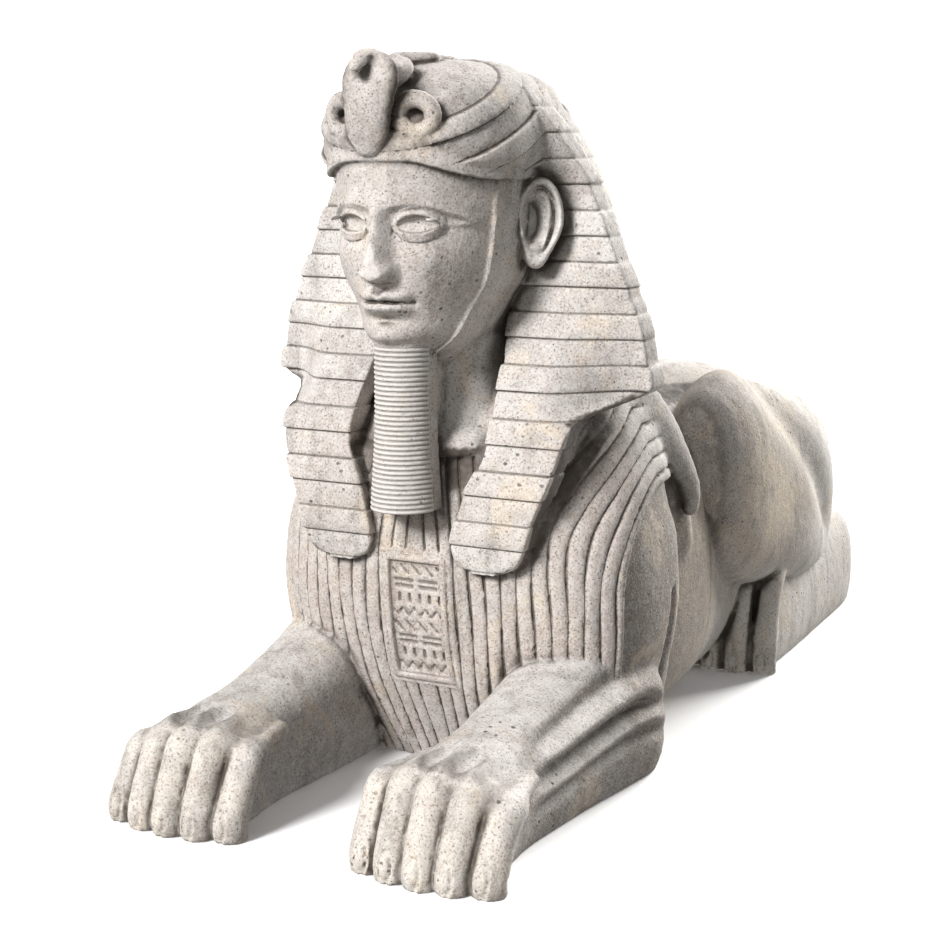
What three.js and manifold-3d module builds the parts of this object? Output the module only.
// Sphinx statue: a lying lion with a crowned human head, cast in one piece.
// Millimetres, +Z up. The figure faces -Y, its own left side is +X, and it lies on z = 0.
// Every form is a closed geometry shaped by a function of the sizes below, and they are joined into one body.

import * as THREE from 'three';
import { mergeVertices } from 'three/addons/utils/BufferGeometryUtils.js';
import Module from 'manifold-3d';

const wasm = await Module();
wasm.setup();

// Driving dimensions
const LENGTH = 1354;
const WIDTH = 470;
const HEIGHT = 790;
const FRONT = -LENGTH / 2;
const REAR = LENGTH / 2;
const BELOW_GROUND = -30;

// Chest and mane: a stack of rounded plan outlines, with upright grooves in front
const CHEST_CENTRE = -230;
const CHEST_WAIST = 190;
const CHEST_TOP = 445;
const GROOVE_PITCH = 21;
const GROOVES_A_SIDE = 12;
const GROOVE_DEPTH = 3;
const MANE_EDGE = 9;
const MANE_FOOT = 100;
const ARCH_HEIGHT = 140;
const ARCH_SWEEP = 0.72;

// Panel on the chest
const PANEL_LOW = 110;
const PANEL_HIGH = 257;
const PANEL_HALF_WIDTH = 39;
const PANEL_FRAME = 6;
const STROKE_ROWS = 4;

// Forelegs and their toes
const LEG_CENTRE = 150;
const TOES = 5;
const TOE_PITCH = 33;
const TOE_RADIUS = 18;
const KNUCKLE_HEIGHT = 84;
const TOE_TIP = FRONT + TOE_RADIUS;

// Hind feet
const HIND_TOES = 4;
const HIND_TOE_TIP = 150;
const HIND_TOE_PITCH = 34;
const HIND_TOE_RADIUS = 18;

// Headdress
const DOME_CENTRE = -336;
const DOME_BASE = 690;
const DOME_TOP = 786;
const DOME_HALF_WIDTH = 119;
const DOME_FRONT = -482;
const DOME_BACK = -150;
const DOME_CORNER = -335;
const DOME_SLANT = 0.5;
const DOME_RAISED = [[654, 681], [708, 735], [762, 782]];
const BAND_RELIEF = 3;
const CLOTH_BAND = 27;
const CLOTH_LOW = 246;
const CLOTH_HIGH = 762;
const CLOTH_THICKNESS = 36;

// Head: the brow is at two thirds of the face and the nose at one third, above the chin
const CHIN = 490;
const HAIRLINE = 690;
const FACE_THIRD = (HAIRLINE + 12 - CHIN) / 3;
const NOSE_BASE = CHIN + FACE_THIRD;
const BROW = CHIN + 2 * FACE_THIRD;
const EYE = BROW - 17;
const MOUTH = CHIN + FACE_THIRD * 0.66;
const FACE_HALF_WIDTH = 98;
const EYE_HALF_WIDTH = 19;
const EYE_PLACE = 38;
const EAR_TURN = 0.62;

// Beard
const BEARD_TOP = 488;
const BEARD_LOW = 312;
const BEARD_AXIS = -430;
const BEARD_RINGS = 22;
const BEARD_RADIUS_TOP = 31;
const BEARD_RADIUS_LOW = 36;

// --- Helpers -----------------------------------------------------------------------------------

const clamp = THREE.MathUtils.clamp;
const lerp = THREE.MathUtils.lerp;
const smooth = THREE.MathUtils.smoothstep;

function vector(x, y, z) {
  return new THREE.Vector3(x, y, z);
}

// A soft hump of height 1 at the middle
function hump(place, middle, spread) {
  return Math.exp(-(((place - middle) / spread) ** 2));
}

// A smooth run of values through [place, value] points in rising places
function through(points) {
  const slope = (i) => {
    const before = points[Math.max(i - 1, 0)];
    const after = points[Math.min(i + 1, points.length - 1)];
    return (after[1] - before[1]) / (after[0] - before[0]);
  };
  return (where) => {
    const place = clamp(where, points[0][0], points[points.length - 1][0]);
    let i = 0;
    while (i < points.length - 2 && place > points[i + 1][0]) i += 1;
    const [start, low] = points[i];
    const [end, high] = points[i + 1];
    const span = end - start;
    const t = (place - start) / span;
    const ease = t * t * (3 - 2 * t);
    const rise = t * (1 - t) * (1 - t) * slope(i) - t * t * (1 - t) * slope(i + 1);
    return low + (high - low) * ease + span * rise;
  };
}

// Across and along of a superellipse at a turn from its front
function oval(turn, halfAcross, halfAlong, power) {
  const across = Math.sin(turn);
  const along = Math.cos(turn);
  return [
    Math.sign(across) * halfAcross * Math.abs(across) ** (2 / power),
    Math.sign(along) * halfAlong * Math.abs(along) ** (2 / power),
  ];
}

// Moves every vertex of a closed geometry
function reshape(geometry, move) {
  const position = geometry.attributes.position;
  const point = new THREE.Vector3();
  for (let i = 0; i < position.count; i += 1) {
    point.fromBufferAttribute(position, i);
    const moved = move(point);
    position.setXYZ(i, moved.x, moved.y, moved.z);
  }
  return geometry;
}

// A closed geometry as a solid, with its faces turned outwards
function solid(geometry) {
  geometry.deleteAttribute('normal');
  geometry.deleteAttribute('uv');
  const merged = mergeVertices(geometry, 1e-3);
  const spots = merged.attributes.position.array;
  const corners = merged.index.array;
  const kept = [];
  let volume = 0;
  for (let i = 0; i < corners.length; i += 3) {
    const [a, b, c] = [corners[i], corners[i + 1], corners[i + 2]];
    if (a !== b && b !== c && c !== a) {
      kept.push(a, b, c);
      const first = new THREE.Vector3().fromArray(spots, 3 * a);
      const second = new THREE.Vector3().fromArray(spots, 3 * b);
      const third = new THREE.Vector3().fromArray(spots, 3 * c);
      volume += first.dot(second.cross(third));
    }
  }
  if (volume < 0) kept.reverse();
  return new wasm.Manifold(new wasm.Mesh({
    numProp: 3,
    vertProperties: new Float32Array(spots),
    triVerts: new Uint32Array(kept),
  }));
}

function joined(solids) {
  return solids.reduce((whole, next) => whole.add(next));
}

// A loft: rings of a cylinder placed by turn, share of the length and share of the radius
function loft(columns, rows, place) {
  const geometry = new THREE.CylinderGeometry(1, 1, 1, columns, rows);
  return solid(reshape(geometry, (p) => place(Math.atan2(p.x, p.z), p.y + 0.5, Math.hypot(p.x, p.z))));
}

// A ball with half sizes, pushed about by an optional function of its unit direction
function ball(centre, half, columns, rows, push = () => vector(0, 0, 0)) {
  const geometry = new THREE.SphereGeometry(1, columns, rows);
  geometry.rotateX(Math.PI / 2);
  return solid(reshape(geometry, (p) => {
    const size = vector(p.x * half[0], p.y * half[1], p.z * half[2]);
    return size.add(vector(...centre)).add(push(p));
  }));
}

// A rounded limb along a smooth path: its sideways and other half sizes at each share of its length
function limb(points, columns, rows, radius, sideways = vector(1, 0, 0)) {
  const path = new THREE.CatmullRomCurve3(points.map((p) => vector(...p)), false, 'centripetal');
  const side = vector(0, 0, 0);
  const up = vector(0, 0, 0);
  return loft(columns, rows, (turn, along, share) => {
    const ahead = path.getTangentAt(along);
    up.crossVectors(sideways, ahead).normalize();
    side.crossVectors(ahead, up);
    const [wide, tall] = radius(along);
    const spot = path.getPointAt(along);
    spot.addScaledVector(side, share * wide * Math.sin(turn));
    return spot.addScaledVector(up, share * tall * Math.cos(turn));
  });
}

// Round ends for a limb: a share of the full radius at each share of the length
function roundEnds(along, end = 0.12) {
  const edge = Math.min(along, 1 - along) / end;
  return edge >= 1 ? 1 : Math.sqrt(Math.max(1 - (1 - edge) ** 2, 0.12));
}

function mirrored(shape) {
  return shape.add(shape.mirror([1, 0, 0]));
}

// --- Lion's body -------------------------------------------------------------------------------

const chestFront = through([
  [BELOW_GROUND, 92], [0, 100], [60, 130], [110, 154], [180, 172], [257, 178], [320, 172], [377, 152],
  [CHEST_TOP, 100],
]);
const chestHalf = through([
  [BELOW_GROUND, 160], [0, 170], [60, 204], [120, 226], [190, 235], [250, 229], [307, 217], [350, 205],
  [390, 190], [420, 165], [CHEST_TOP, 120],
]);

// How far the arm and, above it, the shoulder reach behind the chest's middle
const shoulderBack = through([
  [BELOW_GROUND, 70], [100, 78], [230, 88], [285, 130], [345, 132], [400, 92], [CHEST_TOP, 50],
]);

// Turns from the front that lie at rising distances from the mid-plane round the chest's outline
function turnsAround(distances) {
  const steps = 400;
  const turns = [];
  let walked = 0;
  let last = oval(0, chestHalf(CHEST_WAIST), chestFront(CHEST_WAIST), 3);
  for (let i = 1; i <= steps && turns.length < distances.length; i += 1) {
    const turn = (Math.PI / 2) * (i / steps);
    const next = oval(turn, chestHalf(CHEST_WAIST), chestFront(CHEST_WAIST), 3);
    walked += Math.hypot(next[0] - last[0], next[1] - last[1]);
    last = next;
    while (turns.length < distances.length && walked >= distances[turns.length]) turns.push(turn);
  }
  return turns;
}

// Columns of one side of the chest: the bottom of each groove and the crest beyond it, then the mane's
// edge and the plain arm behind it
function chestColumns() {
  const distances = [];
  for (let k = 1; k <= 2 * GROOVES_A_SIDE; k += 1) distances.push((GROOVE_PITCH * k) / 2);
  const columns = turnsAround(distances).map((turn, i) => ({
    turn, groove: i % 2 === 0, mane: 1, onPanel: distances[i] < PANEL_HALF_WIDTH + 4,
  }));
  const edge = columns[columns.length - 1].turn;
  const plain = { groove: false, onPanel: false };
  columns.push({ ...plain, turn: edge + 0.08, mane: 1 }, { ...plain, turn: edge + 0.14, mane: 0 });
  for (const turn of [1.5, 2.0, 2.6]) columns.push({ ...plain, turn, mane: 0 });
  return columns;
}

function chest() {
  const side = chestColumns();
  const left = side.map((c) => ({ ...c, turn: -c.turn })).reverse();
  const middle = { turn: 0, groove: false, mane: 1, onPanel: true };
  const back = { turn: Math.PI, groove: false, mane: 0, onPanel: false };
  const columns = [middle, ...side, back, ...left];
  const step = (2 * Math.PI) / columns.length;
  const heights = [BELOW_GROUND, PANEL_LOW - 6, CHEST_WAIST + 20, PANEL_HIGH + 12, 300, 340, 385, CHEST_TOP];
  return loft(columns.length, heights.length - 1, (turn, along, share) => {
    const index = (Math.round(turn / step) + columns.length) % columns.length;
    const column = columns[index];
    const z = heights[Math.round(along * (heights.length - 1))];
    const size = Math.abs(column.turn);
    const rise = clamp((z - CHEST_WAIST) / (ARCH_HEIGHT + 60 * (1.2 - size)), 0, 0.97);
    const sweep = column.mane * smooth(size, 0.45, 1.1) * ARCH_SWEEP * (1 - Math.sqrt(1 - rise * rise));
    const bent = Math.sign(column.turn) * Math.min(size + sweep, Math.PI);
    const behind = Math.abs(bent) > Math.PI / 2;
    const depth = behind ? shoulderBack(z) : chestFront(z);
    const power = behind ? lerp(3.4, 2.5, smooth(z, 230, 300)) : lerp(3, 2.4, smooth(z, 250, 390));
    const plain = column.onPanel && z > PANEL_LOW && z < PANEL_HIGH;
    const cut = column.groove && !plain ? GROOVE_DEPTH : 0;
    const bare = (1 - column.mane) * MANE_EDGE * smooth(z, MANE_FOOT - 10, MANE_FOOT + 10);
    const inset = cut + bare * (1 - smooth(z, 290, 340));
    const [across, ahead] = oval(bent, chestHalf(z) - inset, depth - cut, power);
    return vector(share * across, CHEST_CENTRE - share * ahead, z);
  });
}

const barrelTop = through([
  [-300, 425], [-200, 424], [-100, 406], [0, 384], [100, 374], [200, 380], [290, 393], [370, 391],
  [450, 361], [530, 319], [600, 263], [650, 196], [REAR - 8, 150],
]);
const barrelHalf = through([
  [-300, 150], [-220, 186], [-100, 196], [0, 190], [100, 174], [200, 168], [300, 176], [400, 182],
  [500, 166], [600, 128], [650, 84], [REAR - 8, 30],
]);

function barrel() {
  const start = -300;
  const end = REAR - 8;
  const waist = 150;
  const belly = through([[-300, -22], [560, -22], [620, 10], [650, 60], [REAR - 8, 96]]);
  return loft(16, 10, (turn, along, share) => {
    const y = lerp(start, end, along ** 0.85);
    const upright = Math.cos(turn) > 0 ? barrelTop(y) - waist : waist - belly(y);
    const [across, up] = oval(turn, barrelHalf(y), upright, 2.45);
    return vector(share * across, y, waist + share * up);
  });
}

// The smooth strap that sweeps from the headdress down the back of the shoulder to a round hook
function strap() {
  const route = [
    [146, -216, 424], [172, -198, 400], [186, -170, 370],
    [194, -142, 338], [201, -122, 304], [205, -116, 280],
  ];
  const shape = limb(route, 5, 6, (along) => {
    const ends = roundEnds(along);
    return [lerp(15, 19, along) * ends, 11 * ends];
  });
  const bone = [[146, -200, 398], [158, -158, 352], [166, -122, 300], [172, -92, 232]];
  const blade = limb(bone, 6, 4, (along) => {
    const size = lerp(40, 26, along) * roundEnds(along, 0.2);
    return [size, size];
  });
  return mirrored(blade.add(shape));
}

// --- Forelegs ----------------------------------------------------------------------------------

const legTop = through([
  [-635, 92], [-615, 112], [-570, 112], [-518, 117], [-451, 132], [-401, 146], [-340, 164], [-270, 160],
  [-228, 128], [-196, 70],
]);
const legHalf = through([
  [-635, 64], [-600, 70], [-560, 66], [-510, 62], [-451, 64], [-380, 66], [-300, 70], [-240, 64],
  [-196, 24],
]);
const legMiddle = through([
  [-635, 148], [-560, 148], [-450, 149], [-380, 151], [-300, 157], [-240, 162], [-196, 160],
]);

function foreleg() {
  const start = -628;
  const end = -196;
  const middle = 58;
  return loft(12, 8, (turn, along, share) => {
    const y = lerp(start, end, along);
    const upright = Math.cos(turn) > 0 ? legTop(y) - middle : middle - BELOW_GROUND;
    const furrow = 4 * hump(turn, 0.95, 0.22) * hump(y, -380, 90);
    const [across, up] = oval(turn, legHalf(y) - furrow, upright, 2.5);
    return vector(legMiddle(y) + share * across, y, middle + share * up);
  });
}

// One finger-like toe: from behind its knuckle, over it and down to the ground
function toe(tip, knuckle, radius) {
  const back = [knuckle[0], knuckle[1] + 52, knuckle[2] - 4];
  const route = [back, [knuckle[0], knuckle[1] + 16, knuckle[2] + 1], knuckle,
    [tip[0], lerp(knuckle[1], tip[1], 0.72), knuckle[2] * 0.5], [tip[0], tip[1], 8]];
  return limb(route, 5, 5, (along) => {
    const ends = roundEnds(along, 0.16);
    const joint = 1 + 0.1 * hump(along, 0.42, 0.14);
    return [radius * ends * joint * 0.94, radius * ends * joint];
  });
}

function foretoes() {
  const toes = [];
  for (let i = 0; i < TOES; i += 1) {
    const place = i - (TOES - 1) / 2;
    const back = 4.4 * place * place;
    const x = LEG_CENTRE - 2 + TOE_PITCH * place;
    const high = KNUCKLE_HEIGHT - 3.2 * place * place - 2 * place;
    const tip = TOE_TIP + back * 0.75;
    toes.push(toe([x, tip, 8], [x, TOE_TIP + 30 + back, high], TOE_RADIUS));
    toes.push(ball([x, tip - TOE_RADIUS * 0.5, 20], [TOE_RADIUS * 0.42, TOE_RADIUS * 0.6, 17], 5, 3));
  }
  return joined(toes);
}

// --- Haunches and hind feet --------------------------------------------------------------------

const haunchTop = through([
  [-2, 330], [20, 380], [60, 402], [107, 411], [163, 406], [230, 388], [290, 371], [370, 360], [450, 340],
  [530, 310], [600, 264], [650, 208], [REAR - 4, 165],
]);
const haunchLow = through([
  [-2, 270], [20, 205], [60, 160], [110, 136], [200, 113], [300, 99], [400, 93], [500, 94], [600, 106],
  [650, 126], [REAR - 4, 142],
]);
const haunchHalf = through([
  [-2, 14], [20, 42], [60, 60], [110, 70], [200, 84], [300, 90], [400, 82], [500, 63], [600, 45], [650, 30],
  [REAR - 4, 14],
]);
const haunchMiddle = through([
  [-2, 158], [100, 157], [200, 144], [300, 139], [450, 133], [600, 117], [REAR, 105],
]);

// The furrow between thigh and buttock runs from the hip down to the rear of the foot
function thighFurrow(y, z) {
  const line = lerp(180, 430, clamp((372 - z) / 225, 0, 1));
  return 8 * hump(y, line, 40) * smooth(z, 110, 170);
}

function haunch() {
  const start = -2;
  const end = REAR - 4;
  return loft(12, 10, (turn, along, share) => {
    const y = lerp(start, end, 0.7 * along + 0.3 * (0.5 - 0.5 * Math.cos(Math.PI * along)));
    const high = haunchTop(y);
    const low = haunchLow(y);
    const middle = lerp(low, high, 0.42);
    const upright = Math.cos(turn) > 0 ? high - middle : middle - low;
    const fullness = Math.cos(turn) > 0 ? 2.2 + 0.3 * smooth(y, 300, 480) : 2.7 + 1.5 * smooth(y, 150, 350);
    const [across, up] = oval(turn, haunchHalf(y), upright, fullness);
    const z = middle + share * up;
    const inset = Math.sin(turn) > 0 ? thighFurrow(y, z) * Math.sin(turn) : 0;
    return vector(haunchMiddle(y) + share * (across - inset), y, z);
  });
}

const footTop = through([
  [172, 118], [200, 142], [300, 148], [450, 148], [600, 150], [640, 138], [664, 108], [REAR, 62],
]);
const footHalf = through([[172, 50], [200, 60], [300, 62], [450, 58], [600, 52], [650, 40], [REAR, 20]]);

function hindFoot() {
  const start = 172;
  const middle = 50;
  const foot = loft(10, 6, (turn, along, share) => {
    const y = lerp(start, REAR, along ** 0.7);
    const upright = Math.cos(turn) > 0 ? footTop(y) - middle : middle - BELOW_GROUND;
    const [across, up] = oval(turn, footHalf(y), upright, 2.6);
    const z = middle + share * up;
    const lean = 0.42 * Math.max(z, 0) * (1 - along) ** 2;
    return vector(lerp(150, 142, along) + share * across, y + lean, z);
  });
  const toes = [];
  for (let i = 0; i < HIND_TOES; i += 1) {
    const place = i - (HIND_TOES - 1) / 2;
    const x = LEG_CENTRE + HIND_TOE_PITCH * place;
    const back = 5 * place * place;
    toes.push(toe([x, HIND_TOE_TIP + back, 8], [x, HIND_TOE_TIP + 38 + back, 106], HIND_TOE_RADIUS));
  }
  return joined([foot, ...toes]);
}

// The tail rises from the rump and lies in the fold above the right foot
function tail() {
  const route = [
    [0, 640, 150], [-60, 652, 140], [-128, 628, 128], [-180, 560, 128], [-206, 470, 132], [-214, 380, 138],
    [-216, 300, 146], [-214, 240, 152],
  ];
  return limb(route, 6, 8, (along) => {
    const tuft = 5 * hump(along, 0.9, 0.09);
    const size = (lerp(17, 12, along) + tuft) * roundEnds(along, 0.06);
    return [size, size];
  }, vector(0, 0, 1));
}

// --- Panel with rows of strokes ----------------------------------------------------------------

// A bar that lies on the chest in front, between two heights
function chestBar(left, right, low, high, proud) {
  const geometry = new THREE.BoxGeometry(right - left, 2, high - low, 1, 1, high - low > 50 ? 3 : 1);
  return solid(reshape(geometry, (p) => {
    const z = p.z + (low + high) / 2;
    const skin = CHEST_CENTRE - chestFront(z);
    return vector(p.x + (left + right) / 2, p.y < 0 ? skin - proud : skin + 8, z);
  }));
}

function panel() {
  const half = PANEL_HALF_WIDTH;
  const bars = [
    chestBar(-half, half, PANEL_HIGH - PANEL_FRAME, PANEL_HIGH, 4),
    chestBar(-half, half, PANEL_LOW, PANEL_LOW + PANEL_FRAME, 4),
    chestBar(-half, -half + PANEL_FRAME, PANEL_LOW, PANEL_HIGH, 4),
    chestBar(half - PANEL_FRAME, half, PANEL_LOW, PANEL_HIGH, 4),
  ];
  const room = (PANEL_HIGH - PANEL_LOW - 4 * PANEL_FRAME) / STROKE_ROWS;
  for (let row = 0; row < STROKE_ROWS; row += 1) {
    const low = PANEL_LOW + 2 * PANEL_FRAME + room * (row + 0.3);
    const count = 1 + (row % 2);
    const span = (2 * (half - 2 * PANEL_FRAME)) / count;
    for (let i = 0; i < count; i += 1) {
      const left = -half + 2 * PANEL_FRAME + span * (i + 0.15);
      bars.push(chestBar(left, left + span * 0.7, low, low + 4.5, 2));
    }
  }
  return joined(bars);
}

// --- Headdress ---------------------------------------------------------------------------------

const clothOuter = through([
  [CLOTH_LOW, 104], [256, 124], [275, 135], [299, 142], [330, 153], [364, 165], [395, 172], [412, 178],
  [426, 205], [438, 229], [447, 233], [470, 228], [522, 214], [579, 190], [646, 162], [708, 131],
  [740, 110], [CLOTH_HIGH, 92],
]);
const clothInner = through([
  [CLOTH_LOW, 72], [256, 56], [275, 50], [330, 64], [378, 84], [440, 82], [530, 72], [600, 66],
  [CLOTH_HIGH, 56],
]);
const lappetFront = through([
  [CLOTH_LOW, -417], [300, -418], [364, -408], [410, -392], [450, -366], [500, -336], [540, -318],
  [600, -311], [CLOTH_HIGH, -311],
]);

// Front face of the hanging cloth: the lappets lie forward on the chest, the wings stand back
function clothFront(x, z) {
  const forward = lerp(lappetFront(z), -311, smooth(x, 135, 215) * smooth(z, 395, 430));
  const temple = 34 * (1 - smooth(x, 104, 160)) * smooth(z, 640, 690);
  return forward - temple;
}

function clothSide() {
  const heights = [];
  for (let z = CLOTH_HIGH; z > CLOTH_LOW + CLOTH_BAND / 2; z -= CLOTH_BAND) {
    heights.push(z, z - CLOTH_BAND + 1.5);
  }
  heights.push(CLOTH_LOW + 8, CLOTH_LOW);
  heights.reverse();
  const rows = heights.length - 1;
  const geometry = new THREE.BoxGeometry(1, 1, 1, 1, 1, rows);
  return solid(reshape(geometry, (p) => {
    const row = Math.round((p.z + 0.5) * rows);
    const z = heights[row];
    const x = lerp(clothInner(z), clothOuter(z), p.x + 0.5);
    const front = clothFront(x, z);
    const raised = Math.floor((rows - row) / 2) % 2 === 1 ? BAND_RELIEF : 0;
    return p.y < 0 ? vector(x, front - raised, z) : vector(x, front + CLOTH_THICKNESS, z);
  }));
}

// The cloth behind the wings, rounded and plain, gathered into a tail of hair on the back
function clothBack() {
  const start = 395;
  const end = 752;
  const depth = through([[start, 70], [430, 110], [480, 128], [560, 140], [650, 152], [700, 142], [end, 90]]);
  const back = loft(12, 6, (turn, along, share) => {
    const z = lerp(start, end, along);
    const behind = Math.cos(turn) < 0;
    const half = lerp(130, clothOuter(Math.max(z, 450)) - 8, smooth(z, 395, 452));
    const [across, ahead] = oval(turn, half, behind ? depth(z) : 12, 2.5);
    return vector(share * across, -300 - share * ahead, z);
  });
  const braid = limb([[0, -190, 500], [0, -158, 446], [0, -100, 410], [0, -20, 392]], 6, 6, (along) => {
    const ring = Math.round(along * 6) % 2;
    return [(lerp(34, 20, along) - 2 * ring) * roundEnds(along, 0.05), lerp(24, 15, along) - ring];
  });
  return back.add(braid);
}

// The dome's shell: a boxy egg with its poles in front and behind
function domeShell(sunk) {
  return loft(16, 6, (turn, along, share) => {
    const pole = Math.cos(Math.PI * clamp(along, 0.02, 0.98));
    const reach = pole > 0 ? DOME_CENTRE - DOME_FRONT : DOME_BACK - DOME_CENTRE;
    const size = share * (1 - Math.abs(pole) ** 2.3) ** (1 / 2.3) * (1 - sunk / DOME_HALF_WIDTH);
    const high = Math.cos(turn) > 0 ? DOME_TOP - DOME_BASE : 40;
    const [across, up] = oval(turn, DOME_HALF_WIDTH, high, 2.5);
    return vector(size * across, DOME_CENTRE - reach * pole, DOME_BASE + size * up);
  });
}

// Raised bands slant down from the crown's corners to the brow, where the wings' level bands begin
function dome() {
  const slant = Math.atan(DOME_SLANT);
  const bands = DOME_RAISED.map(([low, high]) => {
    const thickness = (high - low) * Math.cos(slant);
    const slab = new THREE.BoxGeometry(2 * DOME_HALF_WIDTH + 20, 2 * DOME_HALF_WIDTH + 220, thickness);
    slab.rotateX(slant);
    slab.translate(0, DOME_CORNER, (low + high) / 2);
    return domeShell(0).intersect(solid(slab));
  });
  return joined([domeShell(BAND_RELIEF), ...bands]);
}

// The plain band across the brow
function browBand() {
  return loft(14, 2, (turn, along, share) => {
    const z = lerp(678, 702, along);
    const ahead = Math.cos(turn) > 0 ? 147 : 60;
    const [across, forward] = oval(turn, 108, ahead, 2.35);
    return vector(share * across, DOME_CENTRE - share * forward, z + 6 * (1 - Math.cos(turn)) * -0.5);
  });
}

// --- Head --------------------------------------------------------------------------------------

const faceDepth = through([
  [CHIN - 26, 60], [CHIN - 8, 98], [CHIN + 10, 128], [MOUTH - 14, 129], [MOUTH + 10, 136],
  [NOSE_BASE + 14, 139],
  [EYE, 139], [BROW + 4, 143], [HAIRLINE, 141], [HAIRLINE + 40, 110],
]);
const faceHalf = through([
  [CHIN - 26, 34], [CHIN - 8, 46], [CHIN + 10, 60], [MOUTH, 77], [NOSE_BASE, 90], [EYE, FACE_HALF_WIDTH],
  [BROW + 10, 100], [HAIRLINE, 100], [HAIRLINE + 40, 76],
]);

// Height of the features over the plain front of the face, for a place across and up it
function features(x, z) {
  const side = Math.abs(x);
  const noseRise = smooth(z, NOSE_BASE - 6, NOSE_BASE + 3) * (1 - smooth(z, NOSE_BASE + 6, BROW + 6) * 0.86);
  const noseHalf = lerp(13, 7, smooth(z, NOSE_BASE, BROW));
  const nose = 25 * noseRise * hump(side, 0, noseHalf);
  const wings = 9 * hump(side, 14, 6) * hump(z, NOSE_BASE + 7, 8);
  const socket = -9 * hump(side, EYE_PLACE - 3, 21) * hump(z, EYE + 1, 14);
  const lid = 8 * Math.max(0, 1 - ((side - EYE_PLACE) / EYE_HALF_WIDTH) ** 2 - ((z - EYE) / 9) ** 2);
  const browArc = BROW + 2 - 0.006 * (side - 30) ** 2;
  const browRidge = 4 * hump(z, browArc, 5) * smooth(side, 6, 16) * (1 - smooth(side, 56, 70));
  const upperLip = 7 * hump(z, MOUTH + 5, 5) * Math.max(0, 1 - (side / 27) ** 2);
  const lowerLip = 8 * hump(z, MOUTH - 7, 6) * Math.max(0, 1 - (side / 25) ** 2);
  const cleft = -5 * hump(z, MOUTH - 19, 6) * hump(side, 0, 20);
  const chin = 6 * hump(z, CHIN + 12, 12) * hump(side, 0, 20);
  return nose + wings + socket + lid + browRidge + upperLip + lowerLip + cleft + chin;
}

function head() {
  const heights = [
    CHIN - 26, CHIN - 8, CHIN + 9, MOUTH - 18, MOUTH - 7, MOUTH, MOUTH + 6, MOUTH + 13, NOSE_BASE - 5,
    NOSE_BASE + 3, NOSE_BASE + 16, EYE - 14, EYE - 8, EYE, EYE + 8, BROW - 3, BROW + 4, BROW + 12,
    HAIRLINE + 8,
  ];
  const facing = 0.77;
  return loft(24, heights.length - 1, (turn, along, share) => {
    const z = heights[Math.round(along * (heights.length - 1))];
    const size = Math.abs(turn) / Math.PI;
    const inFront = size <= facing;
    const eased = inFront ? (size / facing) ** 1.25 : 1 + (size - facing) / (1 - facing);
    const bent = (Math.sign(turn) * eased * Math.PI) / 2;
    const [across, forward] = oval(bent, faceHalf(z), inFront ? faceDepth(z) : 90, 2.15);
    const relief = inFront ? features(across, z) : 0;
    return vector(share * across, DOME_CENTRE - share * (forward + relief), z);
  });
}

function neck() {
  const half = through([[360, 92], [384, 88], [400, 74], [440, 66], [520, 66]]);
  const depth = through([[360, 92], [384, 90], [400, 74], [440, 66], [520, 78]]);
  return loft(12, 4, (turn, along, share) => {
    const z = lerp(360, 520, along);
    const [across, forward] = oval(turn, half(z), depth(z), 2.2);
    return vector(share * across, -310 - share * forward, z);
  });
}

function ear() {
  const turned = (shape) => {
    shape.rotateZ(EAR_TURN);
    shape.translate(114, -336, 614);
    return solid(shape);
  };
  const plate = (half, columns, rows, rise) => {
    const geometry = new THREE.SphereGeometry(1, columns, rows);
    return reshape(geometry, (p) => {
      const narrow = p.y < 0 ? 0.72 : 1;
      return vector(p.x * half[0] * narrow, p.z * half[1] + rise, p.y * half[2]);
    });
  };
  const shell = turned(plate([26, 14, 46], 8, 6, 0));
  const hollow = turned(plate([15, 8, 30], 6, 4, -12));
  return mirrored(shell.subtract(hollow));
}

// The ceremonial beard: a ringed half round in front, a plain slab behind and a narrow web to the neck
function beard() {
  const pitch = (BEARD_TOP - BEARD_LOW) / BEARD_RINGS;
  const radiusAt = (z) => lerp(BEARD_RADIUS_LOW, BEARD_RADIUS_TOP, smooth(z, BEARD_LOW, BEARD_LOW + 90));
  const profile = [new THREE.Vector2(0, BEARD_LOW)];
  for (let i = 0; i < BEARD_RINGS; i += 1) {
    const low = BEARD_LOW + pitch * i;
    const crest = low + pitch * 0.5;
    profile.push(new THREE.Vector2(radiusAt(low) - 1.4, low), new THREE.Vector2(radiusAt(crest), crest));
  }
  profile.push(new THREE.Vector2(BEARD_RADIUS_TOP, BEARD_TOP), new THREE.Vector2(0, BEARD_TOP));
  const ringed = new THREE.LatheGeometry(profile, 10);
  ringed.rotateX(Math.PI / 2);
  ringed.translate(0, BEARD_AXIS, 0);
  const behind = new THREE.BoxGeometry(200, 100, 400);
  behind.translate(0, BEARD_AXIS + 50, 400);
  const front = solid(ringed).subtract(solid(behind));
  const slab = new THREE.BoxGeometry(2, 22, 2);
  reshape(slab, (p) => {
    const z = p.z > 0 ? BEARD_TOP + 10 : BEARD_LOW;
    return vector(p.x * (radiusAt(z) - 1), BEARD_AXIS + 9 + p.y, z);
  });
  const web = new THREE.BoxGeometry(36, 90, BEARD_TOP - BEARD_LOW - 34);
  web.translate(0, BEARD_AXIS + 60, (BEARD_TOP + BEARD_LOW) / 2 + 22);
  return joined([front, solid(slab), solid(web)]);
}

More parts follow.
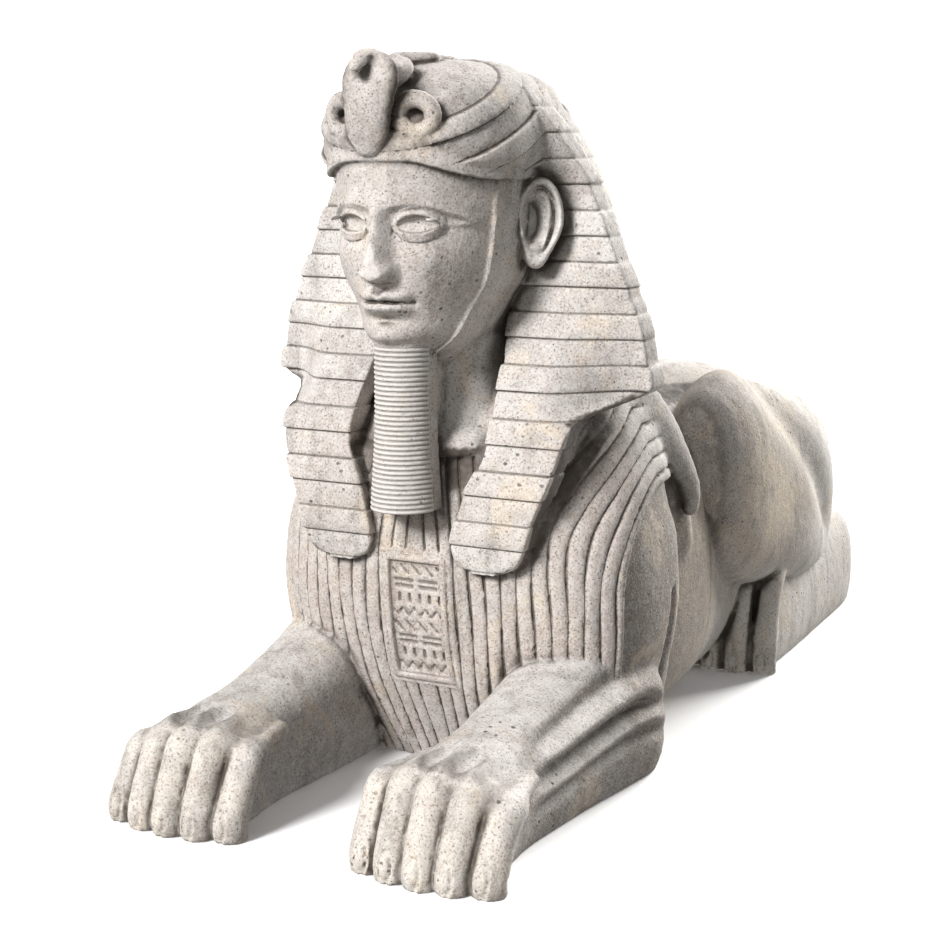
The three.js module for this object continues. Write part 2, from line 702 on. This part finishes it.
// The rearing cobra on the brow: hood, bent head, a loop on each side and the body over the crown
function cobra() {
  const hoodWidth = through([[0, 13], [0.2, 16], [0.45, 26], [0.68, 31], [0.86, 27], [1, 15]]);
  const spine = [[0, -480, 682], [0, -489, 706], [0, -497, 738], [0, -498, 768], [0, -490, 786]];
  const hood = limb(spine, 8, 6, (along) => {
    const ends = roundEnds(along, 0.1);
    return [hoodWidth(along) * ends, 11 * ends];
  });
  const snout = ball([0, -506, 776], [13, 17, 12], 6, 4);
  const loops = [];
  for (const side of [-1, 1]) {
    const ring = new THREE.TorusGeometry(15, 8, 5, 8);
    ring.rotateX(Math.PI / 2 - 0.25);
    ring.rotateZ(side * 0.35);
    ring.translate(side * 46, -474, 722);
    loops.push(solid(ring));
  }
  const route = [
    [0, -486, 752], [10, -462, 764], [-9, -430, 776], [8, -396, 784], [-4, -360, 786], [0, -310, 783],
  ];
  const body = limb(route, 5, 7, (along) => [lerp(11, 5, along), lerp(9, 4, along)]);
  return joined([hood, snout, ...loops, body]);
}

// --- The whole figure --------------------------------------------------------------------------

// Takes away what lies below the ground or above the statue's height
function betweenPlanes(shape) {
  const under = new THREE.BoxGeometry(2 * WIDTH, 2 * LENGTH, 400);
  under.translate(0, 0, -200);
  const over = new THREE.BoxGeometry(2 * WIDTH, 2 * LENGTH, 400);
  over.translate(0, 0, HEIGHT + 200);
  return shape.subtract(solid(under)).subtract(solid(over));
}

function sphinx() {
  const legs = mirrored(joined([foreleg(), foretoes(), haunch(), hindFoot()]));
  const lion = joined([chest(), barrel(), strap(), legs, tail(), panel()]);
  const crown = joined([dome(), browBand(), mirrored(clothSide()), clothBack(), cobra()]);
  const person = joined([head(), neck(), ear(), beard()]);
  return betweenPlanes(joined([lion, crown, person]));
}

function toMesh(name, shape, material) {
  const { vertProperties, triVerts } = shape.getMesh();
  const geometry = new THREE.BufferGeometry();
  geometry.setAttribute('position', new THREE.BufferAttribute(new Float32Array(vertProperties), 3));
  geometry.setIndex(new THREE.BufferAttribute(new Uint32Array(triVerts), 1));
  const mesh = new THREE.Mesh(geometry, material);
  mesh.name = name;
  return mesh;
}

const castStone = new THREE.MeshStandardMaterial({ color: 0xb5aa9b, roughness: 0.85, metalness: 0 });

const group = new THREE.Group();
group.add(toMesh('sphinx', sphinx(), castStone));

export default group;
